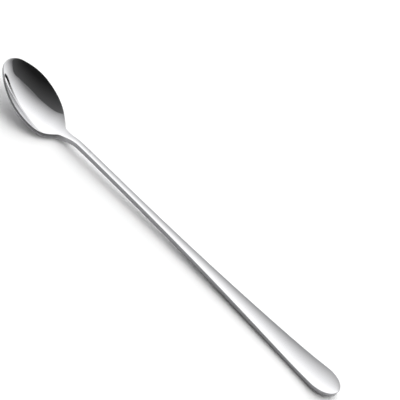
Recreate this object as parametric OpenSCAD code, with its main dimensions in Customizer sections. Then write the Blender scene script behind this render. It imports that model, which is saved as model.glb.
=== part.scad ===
// Iced tea spoon: a pressed bowl and a long forged handle, welded together at the neck.
// The spoon lies along X with its bowl at the -X end. It rests on z = 0, on the bowl's belly
// and on the handle near its end. The origin is the middle of its footprint. Millimetres.

/* [Overall] */
// Length from the bowl's tip to the handle's end
overall_l = 230; // [190:1:270]

/* [Bowl] */
// Length of the bowl's egg, from its tip to where it has run into the neck
bowl_l = 44; // [36:0.5:54]
// Greatest width of the bowl
bowl_w = 28.4; // [22:0.1:36]
// Depth of the bowl under its rim, where it is widest
bowl_depth = 4.6; // [3:0.1:8]
// How the depth goes with the squared width: low makes a pan with steep ends, 1 an even slope
hollow_power = 0.85; // [0.7:0.05:1]
// Wall of the bowl, measured upright
bowl_t = 1.3; // [1:0.1:2]
// Lean of the rim, which is cut square to the wall: its upper edge lies this far inside its lower edge
rim_lean = 0.55; // [0:0.05:0.7]
// The rim, cut upright at the tip, has turned to that lean this far behind it
lean_in = 8; // [4:0.5:20]
// The sides stand upright again this far after the bowl's end
lean_out = 10; // [4:0.5:12]
// Depth of the lip that is rolled level along the rim at the tip
rim_lip = 0.4; // [0:0.05:0.8]
// The lip has run out this far behind the tip
lip_run = 10; // [4:0.5:16]
// How soon the outline narrows to the neck: low is full, high is slender
bowl_taper = 0.765; // [0.6:0.005:1.2]

/* [Handle] */
// Width of the slim neck
neck_w = 3.2; // [2.4:0.05:5]
// Extra half width of the neck's root, which spreads into the bowl
root_w = 5.4; // [2:0.1:8]
// The root starts to draw in this far before the bowl's end
root_before = 11; // [6:0.1:14]
// Length over which the root draws in to the slim neck
root_l = 20.8; // [14:0.1:28]
// Width that the flare reaches at the very end, before the end is rounded
grip_w = 17; // [10:0.1:24]
// Fullness of the flare along its middle
flare_fullness = 0.9; // [0:0.05:2]
// Length of the rounded end
end_round = 13; // [6:0.5:20]
// Thickness of the handle at its sides
handle_t = 2.7; // [2.4:0.1:4]
// Slope of the dished top face at its sides, in degrees
dish_slope = 16.5; // [0:0.5:20]
// Radius of the rounded edges, all round the spoon
edge_r = 0.15; // [0.1:0.05:0.5]

/* [Thickening] */
// The wall starts to thicken into the neck this far before the bowl's end
swell_before = 16.5; // [12:0.5:24]
// The neck has the handle's full thickness this far after the bowl's end
swell_after = 9; // [4:0.5:12]

/* [Bends] */
// Distance from the tip at which the rim, level there, starts to fall
tip_bend = 4.2; // [2:0.1:10]
// Fall of the rim from the tip to the heel, in degrees
rim_fall = 16; // [8:0.5:22]
// The heel, where the rim turns level, lies this far before the bowl's end
heel_before = 7.2; // [4:0.1:14]
// The neck starts to climb this far after the bowl's end
climb_after = 0.9; // [0:0.1:3]
// Rise of the neck, in degrees
neck_rise = 24; // [10:0.5:30]
// The neck bends level this far after the bowl's end
neck_after = 7.7; // [5:0.1:12]
// Length over which each bend at the bowl and neck turns
bend_soft = 3; // [2:0.5:6]
// Lift of the handle's end, in degrees
end_lift = 7.4; // [3:0.1:10]
// The end starts to lift this far before it
lift_before = 19; // [15:0.5:40]
// Length over which the lift turns
lift_soft = 12; // [6:1:20]

/* [Neck joint] */
// The joint lies this far after the bowl's end
joint_after = 17; // [13:0.5:30]
// Width of the weld on the surface
weld_w = 1.4; // [0.8:0.1:2.4]
// Depth of the weld
weld_depth = 0.4; // [0.3:0.05:0.5]
// Diameter of the tenon on the bowl's neck
tenon_d = 1; // [0.8:0.1:1.2]
// Length of the tenon
tenon_l = 5; // [3:0.5:10]
// Clearance round the tenon, on each side
socket_gap = 0.05; // [0.02:0.01:0.1]
// Clearance past the tenon's end
socket_end_gap = 0.3; // [0.1:0.1:1]

/* [Rest] */
// Depth of the flats worn where the spoon touches the table
rest_flat = 0.05; // [0.02:0.01:0.2]

/* [Hidden] */

// Places along the spoon, measured from the bowl's tip
heel_x = bowl_l - heel_before;
climb_x = bowl_l + climb_after;
neck_x = bowl_l + neck_after;
lift_x = overall_l - lift_before;
joint_x = bowl_l + joint_after;
weld_start = joint_x - weld_w / 2;
weld_end = joint_x + weld_w / 2;

// Number of stations along each piece, of steps across a face and of steps round an edge
bowl_steps = 56;
handle_steps = 46;
face_steps = 12;
edge_steps = 2;
ring_n = 2 * (face_steps + 1) + 4 * edge_steps;
// Stations that are tried for the lowest point of a piece, and steps of laying the spoon down
keel_steps = 200;
lie_steps = 6;
// Step for taking slopes
tiny = 0.001;
$fn = 48;

function eased(u) = let (v = min(max(u, 0), 1)) v * v * (3 - 2 * v);

// A ramp of slope 1 that starts at a place and turns in over a soft length, as a bent bar does
function bend(x, at, soft) = (x - at + sqrt((x - at) ^ 2 + soft ^ 2)) / 2;

// Plan outline: the square of the half width. The bowl is an egg, u (1 - u^2)^(2 taper). Over its
// rear half the neck's root fades in, wide at first and drawn in to the slim neck along a smooth step.
// The handle's flare grows with the cube of the distance and ends in an ellipse.
widest_u = 1 / sqrt(1 + 4 * bowl_taper);

function egg(u) = u * (1 - u * u) ^ (2 * bowl_taper);

function bowl_half_sq(x) = x >= bowl_l ? 0 : (bowl_w / 2) ^ 2 * egg(x / bowl_l) / egg(widest_u);

function flare(v) = v ^ 3 * (1 + flare_fullness * (1 - v));

function root(x) = root_w * (1 - eased((x - bowl_l + root_before) / root_l));

function handle_half(x) =
    neck_w / 2 + root(x) + (grip_w - neck_w) / 2 * flare(max(0, x - bowl_l) / (overall_l - bowl_l));

function end_cap(x) = 1 - (max(0, x - overall_l + end_round) / end_round) ^ 2;

function handle_half_sq(x) = handle_half(x) ^ 2 * end_cap(x) * eased(2 * x / bowl_l - 1);

function half_sq(x) = bowl_half_sq(x) + handle_half_sq(x);

function half(x) = sqrt(max(0, half_sq(x)));

// Side view: the line of the rim and of the handle's upper edges, before the spoon is laid down
function bar_line(x) =
    tan(rim_fall) * (bend(x, heel_x, bend_soft) - bend(x, tip_bend, bend_soft))
    + tan(neck_rise) * (bend(x, climb_x, bend_soft) - bend(x, neck_x, bend_soft))
    + tan(end_lift) * bend(x, lift_x, lift_soft);

// Share of the way from the bowl's thin wall to the handle's full section
function swell(x) = eased((x - bowl_l + swell_before) / (swell_before + swell_after));

function wall(x) = bowl_t + (handle_t - bowl_t) * swell(x);

// How far the upper edge lies inside the lower one. The cut keeps its lean where the wall thickens.
function lean(x) = rim_lean * wall(x) / bowl_t * eased(x / lean_in) * (1 - eased((x - bowl_l) / lean_out));

function hollow(x) = bowl_depth * max(0, bowl_half_sq(x) / (bowl_w / 2) ^ 2) ^ hollow_power;

function dish(x) = tan(dish_slope) * sqrt(max(0, handle_half_sq(x))) / 2 * swell(x);

// The spoon is laid down on the lowest points of its bowl and its handle
function keel(x) = bar_line(x) - wall(x) - hollow(x);

function keel_points(from, to) =
    [for (i = [0:keel_steps]) let (x = from + (to - from) * i / keel_steps) [x, keel(x)]];

bowl_keel = keel_points(0, bowl_l);
handle_keel = keel_points(joint_x, overall_l);

function lowest(points, slope) =
    let (heights = [for (p = points) p[1] - slope * p[0]])
    points[search(min(heights), heights)[0]];

function table_slope(slope, steps) =
    steps <= 0 ? slope :
    let (b = lowest(bowl_keel, slope), h = lowest(handle_keel, slope))
    table_slope((h[1] - b[1]) / (h[0] - b[0]), steps - 1);

lie_slope = table_slope(0, lie_steps);
lie_point = lowest(bowl_keel, lie_slope);

function table_line(x) = lie_point[1] + lie_slope * (x - lie_point[0]) + rest_flat;

function edge_z(x) = bar_line(x) - table_line(x);

// The faces across: hollow in the bowl, dished along the handle, flat under the handle. The top
// face leaves the rim level where the lip is rolled, and drops by sqrt(d^2 + lip^2) - lip.
function across(x, y) = 1 - (y / half(x)) ^ 2;

function lip(x) = rim_lip * (1 - eased(x / lip_run));

function drop(x, y) = (hollow(x) + dish(x)) * across(x, y);

function top_z(x, y) = edge_z(x) + lip(x) - sqrt(drop(x, y) ^ 2 + lip(x) ^ 2);

function bottom_z(x, y) = edge_z(x) - wall(x) - hollow(x) * across(x, y);

function middle_z(x) = edge_z(x) - wall(x) / 2;

// Unit direction of the outline in plan
function outline_dir(x) =
    let (v = [2 * half(x), (half_sq(x + tiny) - half_sq(x - tiny)) / (2 * tiny)])
    v / norm(v);

// One ring round the spoon: the top face, one edge, the underside and the other edge. An edge is
// two arcs with a straight stretch between, which leans in the bowl and is upright along the handle.
// It is drawn in square to the outline, so it runs evenly round tip and end.
function ring(x, dir) =
    let (
        w = half(x),
        top_in = lean(x) + edge_r,
        top_x = x + top_in * dir[1],
        top_w = w - top_in * dir[0],
        low_x = x + edge_r * dir[1],
        low_w = w - edge_r * dir[0],
        upper = top_z(top_x, top_w) - edge_r,
        lower = bottom_z(low_x, low_w) + edge_r,
        slant = atan2(lean(x), upper - lower),
        steps = [for (j = [0:face_steps]) 2 * j / face_steps - 1],
        edge = [
            for (k = [1:edge_steps])
                let (a = 90 + (slant - 90) * k / edge_steps)
                [top_in - edge_r * cos(a), upper + edge_r * sin(a)],
            for (k = [0:edge_steps - 1])
                let (a = slant - (slant + 90) * k / edge_steps)
                [edge_r - edge_r * cos(a), lower + edge_r * sin(a)]
        ],
        last = len(edge) - 1
    )
    [
        for (s = steps) [top_x, s * top_w, top_z(top_x, s * top_w)],
        for (e = edge) [x + e[0] * dir[1], w - e[0] * dir[0], e[1]],
        for (s = steps) [low_x, -s * low_w, bottom_z(low_x, s * low_w)],
        for (k = [last:-1:0]) let (e = edge[k]) [x + e[0] * dir[1], e[0] * dir[0] - w, e[1]]
    ];

function station(x) = ring(x, outline_dir(x));

// The small face inside the weld: the section at the joint, drawn in by the weld's depth
function root_face(x) =
    let (c = [x, 0, middle_z(x)], f = 1 - 2 * weld_depth / handle_t)
    [for (p = ring(x, [1, 0])) c + f * (p - c)];

// At the tip and at the end a ring folds flat, so mirrored points share one index
function folded(j) =
    let (f = face_steps + 1, e = 2 * edge_steps)
    j < f ? face_steps :
    j < f + e ? j :
    j < 2 * f + e ? f + e :
    f + e - 1 - (j - 2 * f - e);

function flat_ends(rings, i, j, fold_first, fold_last) =
    i * ring_n + ((i == 0 && fold_first) || (i == len(rings) - 1 && fold_last) ? folded(j) : j);

// Closes rings into a solid. An end that doesn't fold is closed by a fan round its middle.
module skin(rings, fold_first, fold_last) {
    count = len(rings);
    quads = [
        for (i = [0:count - 2])
            for (j = [0:ring_n - 1])
                let (
                    k = (j + 1) % ring_n,
                    a = flat_ends(rings, i, j, fold_first, fold_last),
                    b = flat_ends(rings, i, k, fold_first, fold_last),
                    c = flat_ends(rings, i + 1, k, fold_first, fold_last),
                    d = flat_ends(rings, i + 1, j, fold_first, fold_last)
                )
                each [[a, b, c], [a, c, d]]
    ];
    first_fan = fold_first ? [] : [for (j = [0:ring_n - 1]) [count * ring_n, (j + 1) % ring_n, j]];
    last_row = (count - 1) * ring_n;
    last_fan = fold_last ? [] :
        [for (j = [0:ring_n - 1]) [count * ring_n, last_row + j, last_row + (j + 1) % ring_n]];
    open_ring = fold_first ? rings[count - 1] : rings[0];
    hub = [open_ring[0][0], 0, (open_ring[0][2] + open_ring[ring_n / 2][2]) / 2];
    points = [for (r = rings) each r];
    polyhedron(
        points = concat(points, [hub]),
        faces = [
            for (t = concat(quads, first_fan, last_fan))
                if (t[0] != t[1] && t[1] != t[2] && t[0] != t[2]) t
        ]
    );
}

module to_origin() {
    translate([-overall_l / 2, 0, 0]) children();
}

// Everything under the table's surface
module table() {
    translate([-overall_l, -overall_l, -overall_l]) cube([3 * overall_l, 2 * overall_l, overall_l]);
}

// A round bar along the neck, from the joint towards the handle
module neck_bar(d, back, ahead) {
    slope = atan((middle_z(joint_x + tenon_l) - middle_z(joint_x)) / tenon_l);
    translate([joint_x, 0, middle_z(joint_x)])
        rotate([0, 90 - slope, 0])
            translate([0, 0, -back])
                cylinder(d = d, h = back + ahead);
}

// Pressed bowl with its neck stub, which ends in a tenon
module bowl() {
    stations = [for (i = [0:bowl_steps]) station(weld_start * (1 - cos(90 * i / bowl_steps)))];
    color([0.80, 0.80, 0.82])
        to_origin()
            union() {
                difference() {
                    skin(concat(stations, [root_face(joint_x)]), true, false);
                    table();
                }
                neck_bar(tenon_d, weld_w, tenon_l);
            }
}

// Forged handle with a dished top and a flat back, and with the socket for the tenon
module handle() {
    run = overall_l - weld_end;
    stations = [for (i = [0:handle_steps]) station(weld_end + run * sin(90 * i / handle_steps))];
    color([0.74, 0.74, 0.76])
        to_origin()
            difference() {
                skin(concat([root_face(joint_x)], stations), false, true);
                table();
                neck_bar(tenon_d + 2 * socket_gap, weld_w, tenon_l + socket_end_gap);
            }
}

// Weld round the neck, ground flush: a ring of triangular section in the groove between the two
module neck_weld() {
    rings = [station(weld_start), station(weld_end), root_face(joint_x)];
    corners = len(rings);
    faces = [
        for (i = [0:corners - 1])
            for (j = [0:ring_n - 1])
                let (
                    k = (j + 1) % ring_n,
                    m = (i + 1) % corners
                )
                each [
                    [i * ring_n + j, i * ring_n + k, m * ring_n + k],
                    [i * ring_n + j, m * ring_n + k, m * ring_n + j]
                ]
    ];
    color([0.68, 0.68, 0.70])
        to_origin()
            polyhedron(points = [for (r = rings) each r], faces = faces);
}

bowl();
handle();
neck_weld();
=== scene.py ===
"""Iced tea spoon: a mirror-polished bowl and a long flared handle, welded together at the neck.

The spoon lies along X with its bowl at the -X end, on a pale floor in a light tent. Its pieces are smooth
surfaces, worked out in millimetres with x counted from the bowl's tip, and put into the meshes in metres.
"""

import math

import bmesh
import bpy
import numpy as np
from mathutils import Matrix, Vector


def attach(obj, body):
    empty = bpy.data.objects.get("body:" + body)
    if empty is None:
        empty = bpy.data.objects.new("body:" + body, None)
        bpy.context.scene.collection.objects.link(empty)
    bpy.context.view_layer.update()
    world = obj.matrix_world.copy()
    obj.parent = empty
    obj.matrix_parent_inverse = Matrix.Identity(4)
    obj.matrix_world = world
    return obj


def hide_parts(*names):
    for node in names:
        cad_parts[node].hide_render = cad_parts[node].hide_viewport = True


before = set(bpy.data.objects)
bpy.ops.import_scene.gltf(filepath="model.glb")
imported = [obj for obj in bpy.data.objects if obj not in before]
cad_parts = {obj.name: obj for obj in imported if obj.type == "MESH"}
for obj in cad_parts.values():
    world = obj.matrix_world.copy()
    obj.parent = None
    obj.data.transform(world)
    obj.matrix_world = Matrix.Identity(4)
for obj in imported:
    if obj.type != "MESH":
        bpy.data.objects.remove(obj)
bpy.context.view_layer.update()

# Sizes of the spoon, in millimetres and degrees
MM = 0.001
OVERALL_L = 230.0
BOWL_L = 44.0
BOWL_W = 28.4
BOWL_DEPTH = 4.6
HOLLOW_POWER = 0.85
BOWL_T = 1.3
RIM_LEAN = 0.55
LEAN_IN = 8.0
LEAN_OUT = 10.0
LIP = 0.4
LIP_RUN = 10.0
BOWL_TAPER = 0.765
NECK_W = 3.2
ROOT_W = 5.4
ROOT_X = BOWL_L - 11.0
ROOT_L = 20.8
GRIP_W = 17.0
FLARE_FULLNESS = 0.9
END_ROUND = 13.0
HANDLE_T = 2.7
DISH_SLOPE = 16.5
EDGE_R = 0.15
SWELL_BEFORE = 16.5
SWELL_AFTER = 9.0

# Bends of the rim and handle in the side view: slope in degrees, place and soft length
TIP_BEND = 4.2
RIM_FALL = 16.0
HEEL_X = BOWL_L - 7.2
CLIMB_X = BOWL_L + 0.9
NECK_RISE = 24.0
NECK_X = BOWL_L + 7.7
BEND_SOFT = 3.0
END_LIFT = 7.4
LIFT_X = OVERALL_L - 19.0
LIFT_SOFT = 12.0

# Joint at the neck
JOINT_X = BOWL_L + 17.0
WELD_W = 1.4
WELD_DEPTH = 0.4
TENON_R = 0.5
TENON_L = 5.0
SOCKET_GAP = 0.05
SOCKET_END_GAP = 0.3
WELD_START = JOINT_X - WELD_W / 2
WELD_END = JOINT_X + WELD_W / 2

# Depth of the flats that the spoon rests on
REST_FLAT = 0.05

# Fineness of the meshes: stations along each piece, steps across a face and round a quarter of an edge
BOWL_STEPS = 260
HANDLE_STEPS = 300
WELD_STEPS = 6
FACE_STEPS = 96
EDGE_STEPS = 6
KEEL_STEPS = 200
LIE_STEPS = 6
TINY = 0.001
MERGE_M = 1e-7
SHARP_DEG = 40.0

# The photograph's view: direction and roll in degrees, the point at its centre and the width that it
# takes in there, in metres
VIEW_AZIMUTH = 5.3
VIEW_ELEVATION = 50.0
VIEW_ROLL = 39.4
VIEW_AIM = Vector((0.0009, 0.0165, 0.018))
VIEW_WIDTH = 0.19633
VIEW_DISTANCE = 6.0

# The studio, in metres: the floor's half side and its place under the spoon, and the tent's radius with its
# steps upwards and round
FLOOR_HALF = 12.0
FLOOR_DROP = 0.00001
TENT_R = 12.0
TENT_ROWS = 24
TENT_AROUND = 96

# Colours of the faces and of the ground sides of the steel, of the weld, and of the floor. The sides' darker
# grey is painted shade, standing in for the shadowed floor that the sides reflect
STEEL_FACE = "#E7E7E9"
STEEL_SIDE_SHADE = "#9C9C9E"
WELD_FACE = "#E5E5E7"
WELD_SIDE_SHADE = "#9A9A9C"
FLOOR_PAPER = "#F8F8F8"


def eased(u):
    """Smooth step: 3 v^2 - 2 v^3 of u held to 0..1."""
    v = np.clip(u, 0, 1)
    return v * v * (3 - 2 * v)


def bend(x, at, soft):
    """Ramp of slope 1 that starts at a place and turns in softly: half of d + sqrt(d^2 + soft^2)."""
    return (x - at + np.sqrt((x - at) ** 2 + soft**2)) / 2


def tan(degrees):
    return math.tan(math.radians(degrees))


def egg(u):
    """Squared outline of the bowl: u (1 - u^2)^(2 taper)."""
    return u * np.maximum(1 - u * u, 0) ** (2 * BOWL_TAPER)


def bowl_half_sq(x):
    """Squared half width of the bowl alone: the egg, scaled to its greatest width."""
    widest_u = 1 / math.sqrt(1 + 4 * BOWL_TAPER)
    return (BOWL_W / 2) ** 2 * egg(np.minimum(x / BOWL_L, 1)) / egg(widest_u)


def root(x):
    """Extra half width of the neck's root, which draws in to the slim neck along a smooth step."""
    return ROOT_W * (1 - eased((x - ROOT_X) / ROOT_L))


def handle_half_sq(x):
    """Squared half width of the handle.

    Its root fades in over the bowl's rear half. Its flare grows with the cube of the distance and is ended
    by an ellipse.
    """
    v = np.maximum(0, x - BOWL_L) / (OVERALL_L - BOWL_L)
    half_w = NECK_W / 2 + root(x) + (GRIP_W - NECK_W) / 2 * v**3 * (1 + FLARE_FULLNESS * (1 - v))
    end_cap = 1 - (np.maximum(0, x - OVERALL_L + END_ROUND) / END_ROUND) ** 2
    return half_w**2 * end_cap * eased(2 * x / BOWL_L - 1)


def half_sq(x):
    """Squared half width of the whole outline: bowl and handle fade into each other."""
    return bowl_half_sq(x) + handle_half_sq(x)


def bar_line(x):
    """Side view of the rim and of the handle's upper edges: level at the tip, then a chain of soft bends."""
    return (
        tan(RIM_FALL) * (bend(x, HEEL_X, BEND_SOFT) - bend(x, TIP_BEND, BEND_SOFT))
        + tan(NECK_RISE) * (bend(x, CLIMB_X, BEND_SOFT) - bend(x, NECK_X, BEND_SOFT))
        + tan(END_LIFT) * bend(x, LIFT_X, LIFT_SOFT)
    )


def swell(x):
    """Share of the way from the bowl's thin wall to the handle's full section."""
    return eased((x - BOWL_L + SWELL_BEFORE) / (SWELL_BEFORE + SWELL_AFTER))


def wall(x):
    return BOWL_T + (HANDLE_T - BOWL_T) * swell(x)


def lean(x):
    """How far the rim's upper edge lies inside its lower edge.

    The rim is cut square to the bowl's wall, and the cut turns upright towards the tip and along the neck.
    """
    return RIM_LEAN * wall(x) / BOWL_T * eased(x / LEAN_IN) * (1 - eased((x - BOWL_L) / LEAN_OUT))


def hollow(x):
    """Depth of the bowl under its rim: a power of its squared width, for a pan with steep ends."""
    return BOWL_DEPTH * (bowl_half_sq(x) / (BOWL_W / 2) ** 2) ** HOLLOW_POWER


def dish(x):
    """Depth of the handle's dished top, whose sides slope alike all the way."""
    return tan(DISH_SLOPE) * np.sqrt(np.maximum(0, handle_half_sq(x))) / 2 * swell(x)


def keel(x):
    return bar_line(x) - wall(x) - hollow(x)


def laid_down():
    """Slope and height of the table: a level line, tilted until it touches bowl and handle."""
    bowl_x = np.linspace(0, BOWL_L, KEEL_STEPS + 1)
    handle_x = np.linspace(JOINT_X, OVERALL_L, KEEL_STEPS + 1)
    slope = 0.0
    for _ in range(LIE_STEPS):
        b = bowl_x[np.argmin(keel(bowl_x) - slope * bowl_x)]
        h = handle_x[np.argmin(keel(handle_x) - slope * handle_x)]
        slope = (keel(h) - keel(b)) / (h - b)
    return slope, keel(b) - slope * b + REST_FLAT


TABLE_SLOPE, TABLE_HEIGHT = laid_down()


def edge_z(x):
    """Height of the rim and of the handle's upper edges over the table."""
    return bar_line(x) - TABLE_SLOPE * x - TABLE_HEIGHT


def across(x, y):
    """1 along the middle, 0 at the outline, a parabola between."""
    return 1 - y * y / np.maximum(half_sq(x), TINY**2)


def top_z(x, y):
    """Top face, level along the rim at the tip, where a lip is rolled: drop sqrt(d^2 + lip^2) - lip."""
    drop = (hollow(x) + dish(x)) * across(x, y)
    lip = LIP * (1 - eased(x / LIP_RUN))
    return edge_z(x) + lip - np.sqrt(drop * drop + lip * lip)


def bottom_z(x, y):
    return edge_z(x) - wall(x) - hollow(x) * across(x, y)


def rings(x, square=False):
    """Rings round the spoon at stations x, with each point's share of the ground edge as a fourth number.

    A ring runs over the top face to +y, round that edge, back under the spoon and up the other edge. An edge
    is two arcs with a straight stretch between, which leans in the bowl and is upright along the handle. It
    is drawn in square to the outline or, if asked, to the axis. The underside stops at the table, so the
    rest flats come out where it would go lower.
    """
    x = np.asarray(x, float)[:, None]
    w = np.sqrt(np.maximum(half_sq(x), 0))
    rise = 0 * x if square else (half_sq(x + TINY) - half_sq(x - TINY)) / (2 * TINY)
    run = np.hypot(2 * w, rise)
    along, inward = 2 * w / run, rise / run
    top_in = lean(x) + EDGE_R
    top_x, top_w = x + top_in * inward, w - top_in * along
    low_x, low_w = x + EDGE_R * inward, w - EDGE_R * along
    upper = top_z(top_x, top_w) - EDGE_R
    lower = bottom_z(low_x, low_w) + EDGE_R
    slant = np.arctan2(lean(x), upper - lower)
    share = np.linspace(0, 1, EDGE_STEPS + 1)
    upper_turn = math.pi / 2 + (slant - math.pi / 2) * share[1:]
    lower_turn = slant - (slant + math.pi / 2) * share[:-1]
    inset = np.concatenate(
        [top_in - EDGE_R * np.cos(upper_turn), EDGE_R - EDGE_R * np.cos(lower_turn)], axis=1
    )
    edge_h = np.concatenate(
        [upper + EDGE_R * np.sin(upper_turn), lower + EDGE_R * np.sin(lower_turn)], axis=1
    )
    edge_x = x + inset * inward
    edge_y = w - inset * along
    # This share marks the ground sides: the steel gives them real satin and a painted shade in their colour
    ground = np.concatenate([share[1:], 1 - share[:-1]]) + 0 * inset
    step = np.linspace(-1, 1, FACE_STEPS + 1)
    top_y, low_y = top_w * step, low_w * step
    plain = 0 * top_y
    top = np.stack([top_x + plain, top_y, top_z(top_x, top_y), plain], -1)
    near = np.stack([edge_x, edge_y, edge_h, ground], -1)
    under = np.stack([low_x + plain, -low_y, bottom_z(low_x, low_y), plain], -1)
    far = np.stack([edge_x, -edge_y, edge_h, ground], -1)[:, ::-1]
    ring = np.concatenate([top, near, under, far], axis=1)
    ring[..., 2] = np.maximum(ring[..., 2], 0)
    return ring


def joint_middle(x):
    return np.array([x, 0, edge_z(x) - wall(x) / 2, 0])


def root_ring():
    """The small face inside the weld: the joint's section, drawn in by the weld's depth."""
    middle = joint_middle(JOINT_X)
    return middle + (1 - 2 * WELD_DEPTH / HANDLE_T) * (rings([JOINT_X], square=True)[0] - middle)


def neck_bore(radius, length):
    """Round bar along the neck: a circle in the root face, one at its end, and the end's middle."""
    middle = joint_middle(JOINT_X)
    ahead = joint_middle(JOINT_X + TENON_L) - middle
    spoke = root_ring() - middle
    spoke[:, 3] = 0
    circle = middle + radius * spoke / np.linalg.norm(spoke, axis=1, keepdims=True)
    end = circle + length * ahead / np.linalg.norm(ahead)
    return np.stack([circle, end, 0 * end + end.mean(axis=0)])


def skin(name, grid, loop=False):
    """Mesh through a grid of rings, closed round each ring, and from the last to the first ring in a loop.

    Points that fall together at a tip, an end or the middle of a bar become one, which closes the mesh.
    """
    count, around = grid.shape[:2]
    row, column = np.meshgrid(np.arange(count if loop else count - 1), np.arange(around), indexing="ij")
    next_row = (row + 1) % count
    next_column = (column + 1) % around
    quads = np.stack(
        [
            row * around + column,
            next_row * around + column,
            next_row * around + next_column,
            row * around + next_column,
        ],
        axis=-1,
    ).reshape(-1, 4)
    flat = grid.reshape(-1, 4)
    mesh = bpy.data.meshes.new(name)
    mesh.from_pydata((flat[:, :3] - (OVERALL_L / 2, 0, 0)) * MM, [], quads)
    ground = mesh.attributes.new("ground_and_shaded_side", "FLOAT", "POINT")
    ground.data.foreach_set("value", flat[:, 3].astype(np.float32))
    shell = bmesh.new()
    shell.from_mesh(mesh)
    bmesh.ops.remove_doubles(shell, verts=shell.verts, dist=MERGE_M)
    shell.to_mesh(mesh)
    shell.free()
    mesh.shade_smooth()
    mesh.set_sharp_from_angle(angle=math.radians(SHARP_DEG))
    made = bpy.data.objects.new(name, mesh)
    bpy.context.scene.collection.objects.link(made)
    return made


def bowl_skin():
    """Pressed bowl with its neck stub: stations that crowd at the tip, the weld's groove, the tenon."""
    quarter = np.linspace(0, math.pi / 2, BOWL_STEPS + 1)
    body = rings(WELD_START * (1 - np.cos(quarter)))
    return skin("bowl_polished", np.concatenate([body, root_ring()[None], neck_bore(TENON_R, TENON_L)]))


def handle_skin():
    """Forged handle: the tenon's socket, the weld's groove, stations that crowd at the end."""
    quarter = np.linspace(0, math.pi / 2, HANDLE_STEPS + 1)
    body = rings(WELD_END + (OVERALL_L - WELD_END) * np.sin(quarter))
    socket = neck_bore(TENON_R + SOCKET_GAP, TENON_L + SOCKET_END_GAP)[::-1]
    return skin("handle_polished", np.concatenate([socket, root_ring()[None], body]))


def weld_skin():
    """Weld ground flush: a ring of triangular section in the groove, with the neck's own surface outside."""
    outside = rings(np.linspace(WELD_START, WELD_END, WELD_STEPS + 1))
    return skin("weld_ground_flush", np.concatenate([outside, root_ring()[None]]), loop=True)


def linear(hex_colour):
    """Linear RGBA of an sRGB colour such as #D8D8DA."""
    srgb = np.array([int(hex_colour[i : i + 2], 16) for i in (1, 3, 5)]) / 255
    rgb = np.where(srgb <= 0.04045, srgb / 12.92, ((srgb + 0.055) / 1.055) ** 2.4)
    return (*rgb.tolist(), 1.0)


def add(tree, kind, inputs=None, **settings):
    """Adds a node to a tree with its settings. An input is a value, or a socket that is linked in."""
    made = tree.nodes.new(kind)
    for name, value in settings.items():
        setattr(made, name, value)
    for name, value in (inputs or {}).items():
        if isinstance(value, bpy.types.NodeSocket):
            tree.links.new(value, made.inputs[name])
        else:
            made.inputs[name].default_value = value
    return made


def maths(tree, operation, *terms, **settings):
    """Socket with the result of a Math node on values or sockets."""
    return add(tree, "ShaderNodeMath", dict(enumerate(terms)), operation=operation, **settings).outputs[0]


def dot(tree, direction, towards):
    """Socket with the scalar product of two directions."""
    made = add(tree, "ShaderNodeVectorMath", {0: direction, 1: towards}, operation="DOT_PRODUCT")
    return made.outputs["Value"]


def material(name):
    """A new material with an empty tree and its output node."""
    made = bpy.data.materials.new(name)
    made.use_nodes = True
    made.node_tree.nodes.clear()
    return made, made.node_tree, add(made.node_tree, "ShaderNodeOutputMaterial")


# Hairlines left by the polishing wheel: spacing across, length along the spoon and depth, in millimetres.
# They are drawn coarser than real ones, so that a close view shows them
HAIRLINE_GAP = 0.25
HAIRLINE_RUN = 9.0
HAIRLINE_DEPTH = 0.01
# Their share in the shading, and how fine and how broken they are
HAIRLINE_STRENGTH = 0.02
HAIRLINE_DETAIL = 3.0
HAIRLINE_BREAKS = 0.6
# Patches where the wheel dwelt, in millimetres, and their change of roughness
HAZE_PATCH = 14.0
HAZE_ROUGHNESS = 0.02


def polished_steel(name, face, edge, roughness, edge_roughness):
    """18/8 stainless steel, buffed to a mirror, with its sides only belt-ground.

    The faces show the room sharply, with faint hairlines along the spoon. The blanked sides are satin, and
    their darker grey is painted shade, standing in for the shadowed floor that they reflect.
    """
    made, tree, output = material(name)
    place = add(tree, "ShaderNodeTexCoord").outputs["Object"]
    along, across_lines = 1 / (HAIRLINE_RUN * MM), 1 / (HAIRLINE_GAP * MM)
    stretch = add(
        tree, "ShaderNodeMapping", {"Vector": place, "Scale": (along, across_lines, across_lines)}
    )
    scratched = {"Vector": stretch.outputs["Vector"], "Scale": 1.0}
    scratched.update({"Detail": HAIRLINE_DETAIL, "Roughness": HAIRLINE_BREAKS})
    lines = add(tree, "ShaderNodeTexNoise", scratched)
    haze = add(tree, "ShaderNodeTexNoise", {"Vector": place, "Scale": 1 / (HAZE_PATCH * MM)})
    side = add(tree, "ShaderNodeAttribute", attribute_name="ground_and_shaded_side").outputs["Fac"]
    # Painted shade: the ground sides get the darker side colour in place of the face colour
    colour = add(
        tree,
        "ShaderNodeMix",
        {"Factor": side, "A": linear(face), "B": linear(edge)},
        data_type="RGBA",
    )
    sheen = add(tree, "ShaderNodeMapRange", {"Value": side, "To Min": roughness, "To Max": edge_roughness})
    dull = add(
        tree,
        "ShaderNodeMapRange",
        {"Value": haze.outputs["Fac"], "To Min": -HAZE_ROUGHNESS, "To Max": HAZE_ROUGHNESS},
    )
    rough = maths(tree, "ADD", sheen.outputs["Result"], dull.outputs["Result"], use_clamp=True)
    raised = {"Height": lines.outputs["Fac"], "Strength": HAIRLINE_STRENGTH, "Distance": HAIRLINE_DEPTH * MM}
    relief = add(tree, "ShaderNodeBump", raised)
    steel = add(
        tree,
        "ShaderNodeBsdfPrincipled",
        {
            "Base Color": colour.outputs["Result"],
            "Metallic": 1.0,
            "Roughness": rough,
            "Normal": relief.outputs["Normal"],
        },
    )
    tree.links.new(steel.outputs["BSDF"], output.inputs["Surface"])
    return made


# The tent's lit cloth: its level, its rise with the direction's y, its fall with the square of x from a
# place, and the least and most that it gives
LIT_BASE = 0.26
LIT_RISE = 1.35
LIT_FALL = -0.85
LIT_AT = -0.36
LIT_LEAST = 0.2
LIT_MOST = 1.3
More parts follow.
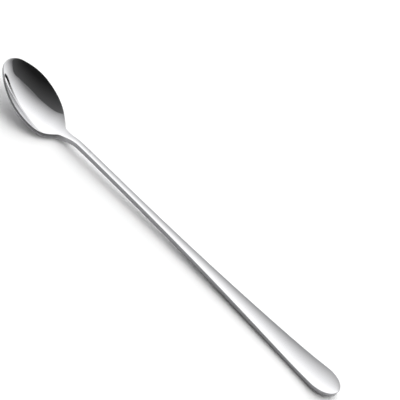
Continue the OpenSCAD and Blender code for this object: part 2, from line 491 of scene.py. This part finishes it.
# The cloth ends at two edges, overhead and at the handle's side: the direction that each is square to and
# its cosine there, the softness of both and the rounding where they meet
TOP_TOWARDS = (-0.305, 0.925, 0.229)
TOP_EDGE = 0.342
SIDE_TOWARDS = (-0.99, 0.142, 0.0)
SIDE_EDGE = -0.53
EDGE_BLUR = 0.008
EDGE_ROUND = 0.2
# The dim room past those edges: its level, its slope against the direction, and its least and most
ROOM_BASE = 0.09
ROOM_SLOPE = (-0.11, 0.1, 0.0)
ROOM_LEAST = 0.012
ROOM_MOST = 0.12
# The room's pale front wall: the direction's y where it begins and where it is at its full level
FRONT_FROM = -0.42
FRONT_FULL = -0.9
FRONT_LEVEL = 0.33
# The cloth's hem, a dark band over the floor: its height and softness, and its shares before and past two
# places in x
HEM = 0.12
HEM_BLUR = 0.01
HEM_FROM = 0.25
HEM_SHARE = 0.3
HEM_FULL = 0.4
HEM_FULL_SHARE = 1.0
# The light on the floor: a lobe round this direction, with its power, and an even rest
FLOOR_TOWARDS = Vector((-0.05, 1.12, 1.0)).normalized()
FLOOR_POWER = 2.18
FLOOR_LOBE = 3.3
FLOOR_EVEN = 0.08


def tent_light(tree, direction):
    """Socket with the tent's level in a direction: the lit cloth, darker at its hem, and the dim room."""
    place = add(tree, "ShaderNodeSeparateXYZ", {"Vector": direction}).outputs
    aside = maths(tree, "SUBTRACT", place["X"], LIT_AT)
    fall = maths(tree, "MULTIPLY", aside, aside)
    rise = maths(tree, "MULTIPLY_ADD", place["Y"], LIT_RISE, LIT_BASE)
    level = maths(tree, "MULTIPLY_ADD", fall, LIT_FALL, rise)
    cloth = add(tree, "ShaderNodeClamp", {"Value": level, "Min": LIT_LEAST, "Max": LIT_MOST}).outputs[0]

    low = {"Value": place["Z"], "From Min": HEM + HEM_BLUR, "From Max": HEM - HEM_BLUR}
    in_hem = add(tree, "ShaderNodeMapRange", low).outputs[0]
    reach = {"Value": place["X"], "From Min": HEM_FROM, "From Max": HEM_FULL}
    reach.update({"To Min": HEM_SHARE, "To Max": HEM_FULL_SHARE})
    share = add(tree, "ShaderNodeMapRange", reach).outputs[0]
    hem = maths(tree, "MULTIPLY", in_hem, share)
    kept = maths(tree, "SUBTRACT", 1.0, hem)
    lit = maths(tree, "MULTIPLY", cloth, kept)

    gloom = maths(tree, "ADD", dot(tree, direction, ROOM_SLOPE), ROOM_BASE)
    dim = add(tree, "ShaderNodeClamp", {"Value": gloom, "Min": ROOM_LEAST, "Max": ROOM_MOST}).outputs[0]
    before = {"Value": place["Y"], "From Min": FRONT_FROM, "From Max": FRONT_FULL, "To Max": FRONT_LEVEL}
    front = add(tree, "ShaderNodeMapRange", before).outputs[0]
    room = maths(tree, "ADD", dim, front)

    past_top = maths(tree, "SUBTRACT", dot(tree, direction, TOP_TOWARDS), TOP_EDGE)
    past_side = maths(tree, "SUBTRACT", dot(tree, direction, SIDE_TOWARDS), SIDE_EDGE)
    past = maths(tree, "SMOOTH_MIN", past_top, past_side, EDGE_ROUND)
    edge = {"Value": past, "From Min": -EDGE_BLUR, "From Max": EDGE_BLUR}
    inside = add(tree, "ShaderNodeMapRange", edge).outputs[0]
    return add(tree, "ShaderNodeMix", {"Factor": inside, "A": room, "B": lit}, data_type="FLOAT").outputs[0]


def studio_world():
    """White to the camera and in mirrors where nothing stands before it, and soft light on all else."""
    world = bpy.data.worlds.new("studio")
    bpy.context.scene.world = world
    world.use_nodes = True
    tree = world.node_tree
    tree.nodes.clear()
    direction = add(tree, "ShaderNodeTexCoord").outputs["Generated"]
    front = maths(tree, "MAXIMUM", dot(tree, direction, FLOOR_TOWARDS), 0.0)
    lobe = maths(tree, "POWER", front, FLOOR_POWER)
    light = maths(tree, "MULTIPLY_ADD", lobe, FLOOR_LOBE, FLOOR_EVEN)
    path = add(tree, "ShaderNodeLightPath").outputs
    mirror = maths(tree, "ADD", path["Is Glossy Ray"], path["Is Transmission Ray"])
    seen = maths(tree, "ADD", path["Is Camera Ray"], mirror, use_clamp=True)
    level = add(tree, "ShaderNodeMix", {"Factor": seen, "A": light, "B": 1.0}, data_type="FLOAT").outputs[0]
    sky = add(tree, "ShaderNodeBackground", {"Color": (1, 1, 1, 1), "Strength": level})
    output = add(tree, "ShaderNodeOutputWorld")
    tree.links.new(sky.outputs["Background"], output.inputs["Surface"])


def stage_object(name, points, faces, finish):
    mesh = bpy.data.meshes.new(name)
    mesh.from_pydata(points, [], faces)
    mesh.materials.append(finish)
    made = bpy.data.objects.new(name, mesh)
    bpy.context.scene.collection.objects.link(made)
    return made


def floor():
    """Pale matt floor, a square just under the spoon."""
    made, tree, output = material("matt_white_floor")
    paper = add(tree, "ShaderNodeBsdfDiffuse", {"Color": linear(FLOOR_PAPER)})
    tree.links.new(paper.outputs["BSDF"], output.inputs["Surface"])
    s, z = FLOOR_HALF, -FLOOR_DROP
    stage_object("floor", [(-s, -s, z), (s, -s, z), (s, s, z), (-s, s, z)], [(0, 1, 2, 3)], made)


def light_tent():
    """Half a ball of cloth round the spoon that only its mirror finish sees.

    A point of it is r (cos e cos a, cos e sin a, sin e), at the rise e over the floor and the turn a.
    """
    made, tree, output = material("tent_cloth")
    direction = add(
        tree,
        "ShaderNodeVectorMath",
        {0: add(tree, "ShaderNodeTexCoord").outputs["Object"]},
        operation="NORMALIZE",
    )
    glow = add(tree, "ShaderNodeEmission", {"Strength": tent_light(tree, direction.outputs["Vector"])})
    tree.links.new(glow.outputs["Emission"], output.inputs["Surface"])
    rise, turn = np.meshgrid(
        np.linspace(0, math.pi / 2, TENT_ROWS + 1),
        np.linspace(0, 2 * math.pi, TENT_AROUND, endpoint=False),
        indexing="ij",
    )
    points = TENT_R * np.stack([np.cos(rise) * np.cos(turn), np.cos(rise) * np.sin(turn), np.sin(rise)], -1)
    row, column = np.meshgrid(np.arange(TENT_ROWS), np.arange(TENT_AROUND), indexing="ij")
    next_column = (column + 1) % TENT_AROUND
    low, high = row * TENT_AROUND, (row + 1) * TENT_AROUND
    faces = np.stack([low + column, high + column, high + next_column, low + next_column], -1)
    tent = stage_object("light_tent", points.reshape(-1, 3), faces.reshape(-1, 4), made)
    tent.visible_camera = False
    tent.visible_diffuse = False
    tent.visible_shadow = False


def camera():
    """Long lens at the photograph's viewing angle, rolled so that the spoon runs down to the right."""
    azimuth, elevation, roll = (math.radians(v) for v in (VIEW_AZIMUTH, VIEW_ELEVATION, VIEW_ROLL))
    level = Vector((math.cos(azimuth), math.sin(azimuth), 0))
    ahead = Vector((-math.sin(azimuth), math.cos(azimuth), 0))
    back = Vector((0, 0, math.sin(elevation))) - math.cos(elevation) * ahead
    upright = back.cross(level)
    right = math.cos(roll) * level + math.sin(roll) * upright
    data = bpy.data.cameras.new("view")
    data.lens = data.sensor_width * VIEW_DISTANCE / VIEW_WIDTH
    made = bpy.data.objects.new("view", data)
    bpy.context.scene.collection.objects.link(made)
    turned = Matrix((right, back.cross(right), back)).transposed()
    made.matrix_world = Matrix.Translation(VIEW_AIM + back * VIEW_DISTANCE) @ turned.to_4x4()
    bpy.context.scene.camera = made


camera()
floor()
light_tent()
studio_world()
bpy.context.scene.view_settings.view_transform = "Standard"

BOWL_STEEL = polished_steel(
    "mirror_polished_steel", STEEL_FACE, STEEL_SIDE_SHADE, roughness=0.05, edge_roughness=0.38
)
HANDLE_STEEL = polished_steel("buffed_steel", STEEL_FACE, STEEL_SIDE_SHADE, roughness=0.06, edge_roughness=0.3)
WELD_STEEL = polished_steel("ground_weld_steel", WELD_FACE, WELD_SIDE_SHADE, roughness=0.07, edge_roughness=0.3)

for made, node_name, slot, finish in (
    (bowl_skin(), "bowl", "bowl_steel", BOWL_STEEL),
    (handle_skin(), "handle", "handle_steel", HANDLE_STEEL),
    (weld_skin(), "neck_weld", "weld_steel", WELD_STEEL),
):
    made.data.materials.append(finish)
    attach(made, "root")
    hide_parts(node_name)
